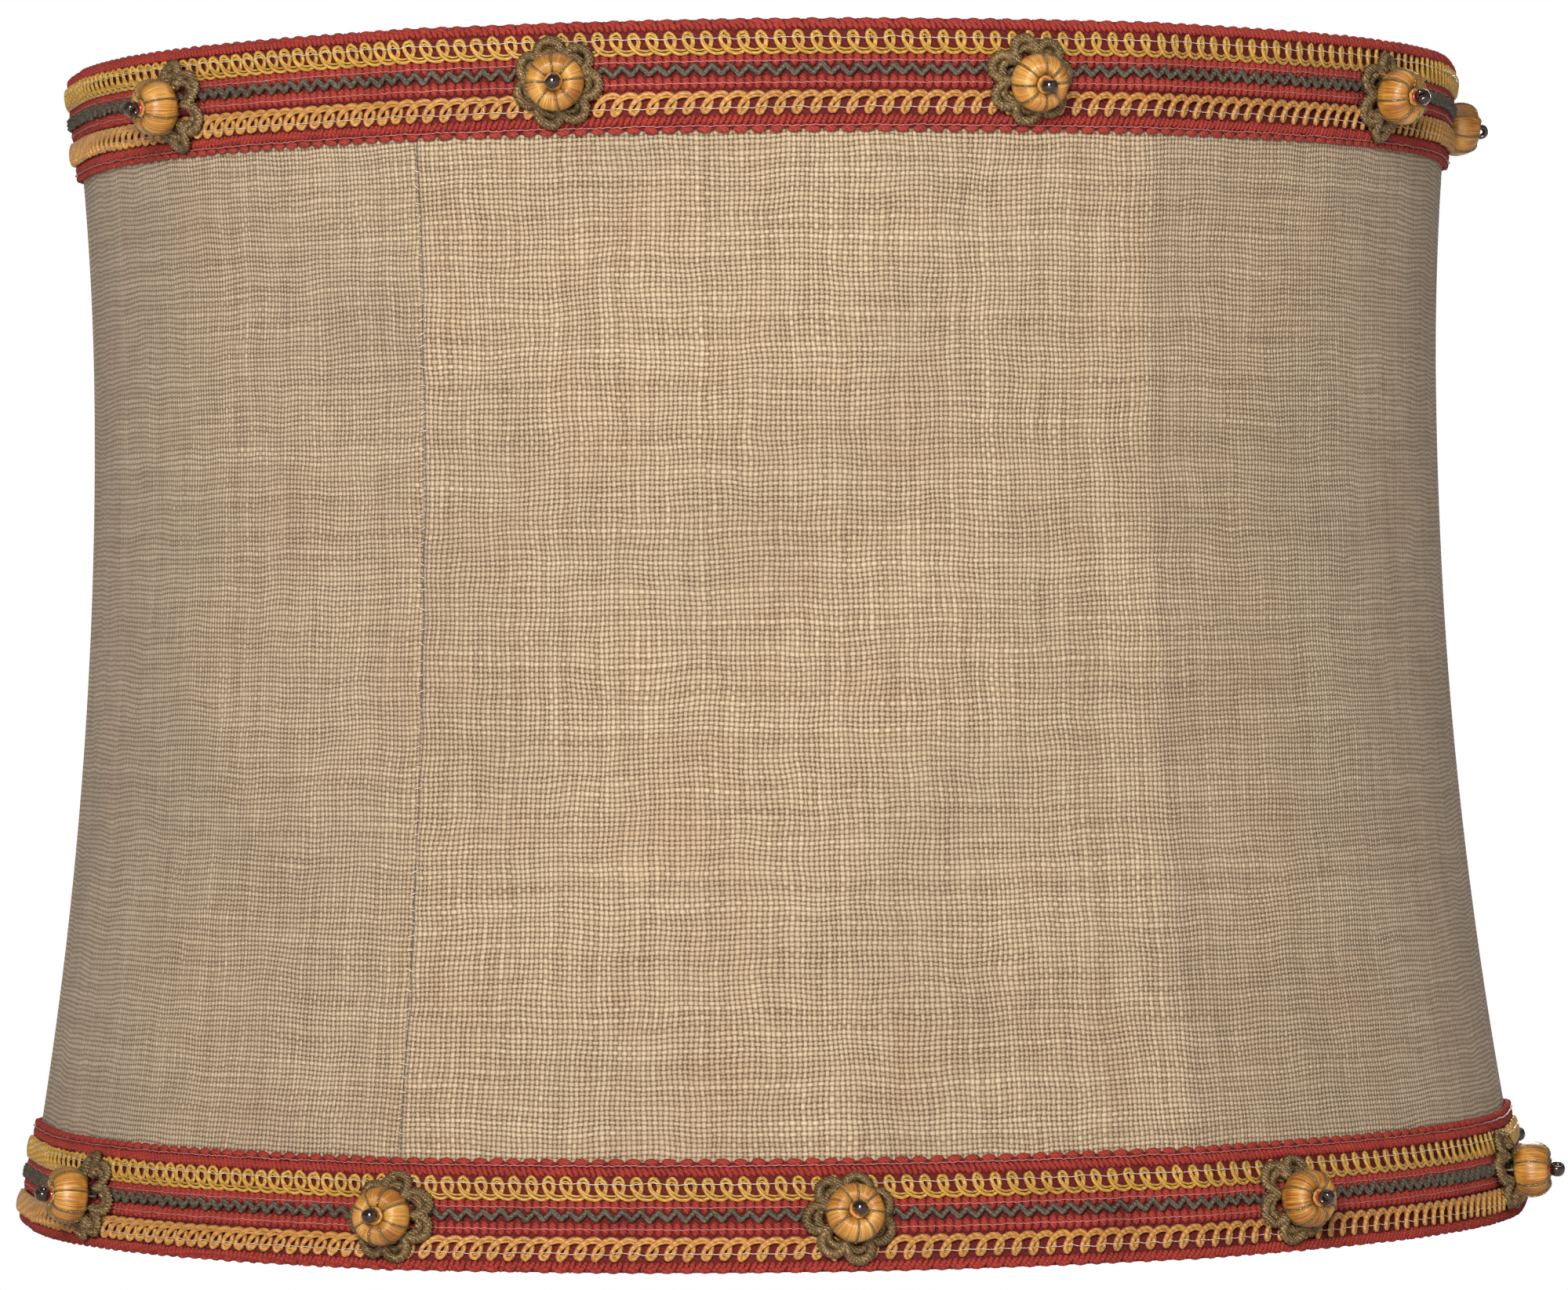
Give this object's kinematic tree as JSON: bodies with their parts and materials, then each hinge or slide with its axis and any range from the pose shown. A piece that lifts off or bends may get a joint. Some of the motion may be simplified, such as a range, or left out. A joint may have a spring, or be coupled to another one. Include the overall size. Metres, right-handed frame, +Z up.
{
  "type": "lamp shade",
  "caption": "Round drum lamp shade: linen over a waisted wire frame, lined inside, with wide braid and beaded rosettes round both rims, on a spider washer that sits on a harp.",
  "frame": {"origin": "centre of the spider washer's hole, on the washer's lower face", "axes": "+Z up along the washer's hole; -Y is the side seen with one seam left of the middle; +X to its right"},
  "size_m": [0.4142, 0.4318, 0.309],
  "materials": {
    "frame_wire": "white enamelled steel wire, satin",
    "fitter_brass": "brass plated, satin",
    "linen": "slubby plain weave linen, oatmeal",
    "lining_cloth": "smooth off-white lining cloth",
    "binding_tape": "cotton binding tape",
    "red_ground": "woven braid ground, brick red",
    "gold_gimp": "gold gimp cord",
    "grey_braid": "charcoal and silver flat braid",
    "bronze_cord": "bronze chainette cord",
    "satin_thread": "golden brown satin thread",
    "red_glass": "translucent red-orange glass",
    "bronze_glass": "dark bronze glass, glossy",
    "sewing_thread": "waxed sewing thread"
  },
  "bodies": {
    "root": {"top_ring": "frame_wire", "bottom_ring": "frame_wire", "rib_1": "frame_wire", "rib_2": "frame_wire", "rib_3": "frame_wire", "rib_4": "frame_wire", "rib_5": "frame_wire", "rib_6": "frame_wire", "spider_arm_1": "frame_wire", "spider_arm_2": "frame_wire", "spider_arm_3": "frame_wire", "spider_washer": "fitter_brass", "top_ring_binding": "binding_tape", "bottom_ring_binding": "binding_tape", "right_cover": "linen", "left_cover": "linen", "right_lining": "lining_cloth", "left_lining": "lining_cloth", "top_braid_tape": "red_ground", "top_upper_gimp": "gold_gimp", "top_lower_gimp": "gold_gimp", "top_zigzag_braid": "grey_braid", "top_flowers": "bronze_cord", "top_satin_beads": "satin_thread", "top_red_beads": "red_glass", "top_seed_beads": "bronze_glass", "top_bead_threads": "sewing_thread", "bottom_braid_tape": "red_ground", "bottom_upper_gimp": "gold_gimp", "bottom_lower_gimp": "gold_gimp", "bottom_zigzag_braid": "grey_braid", "bottom_flowers": "bronze_cord", "bottom_satin_beads": "satin_thread", "bottom_red_beads": "red_glass", "bottom_seed_beads": "bronze_glass", "bottom_bead_threads": "sewing_thread"}
  },
  "joints": []
}
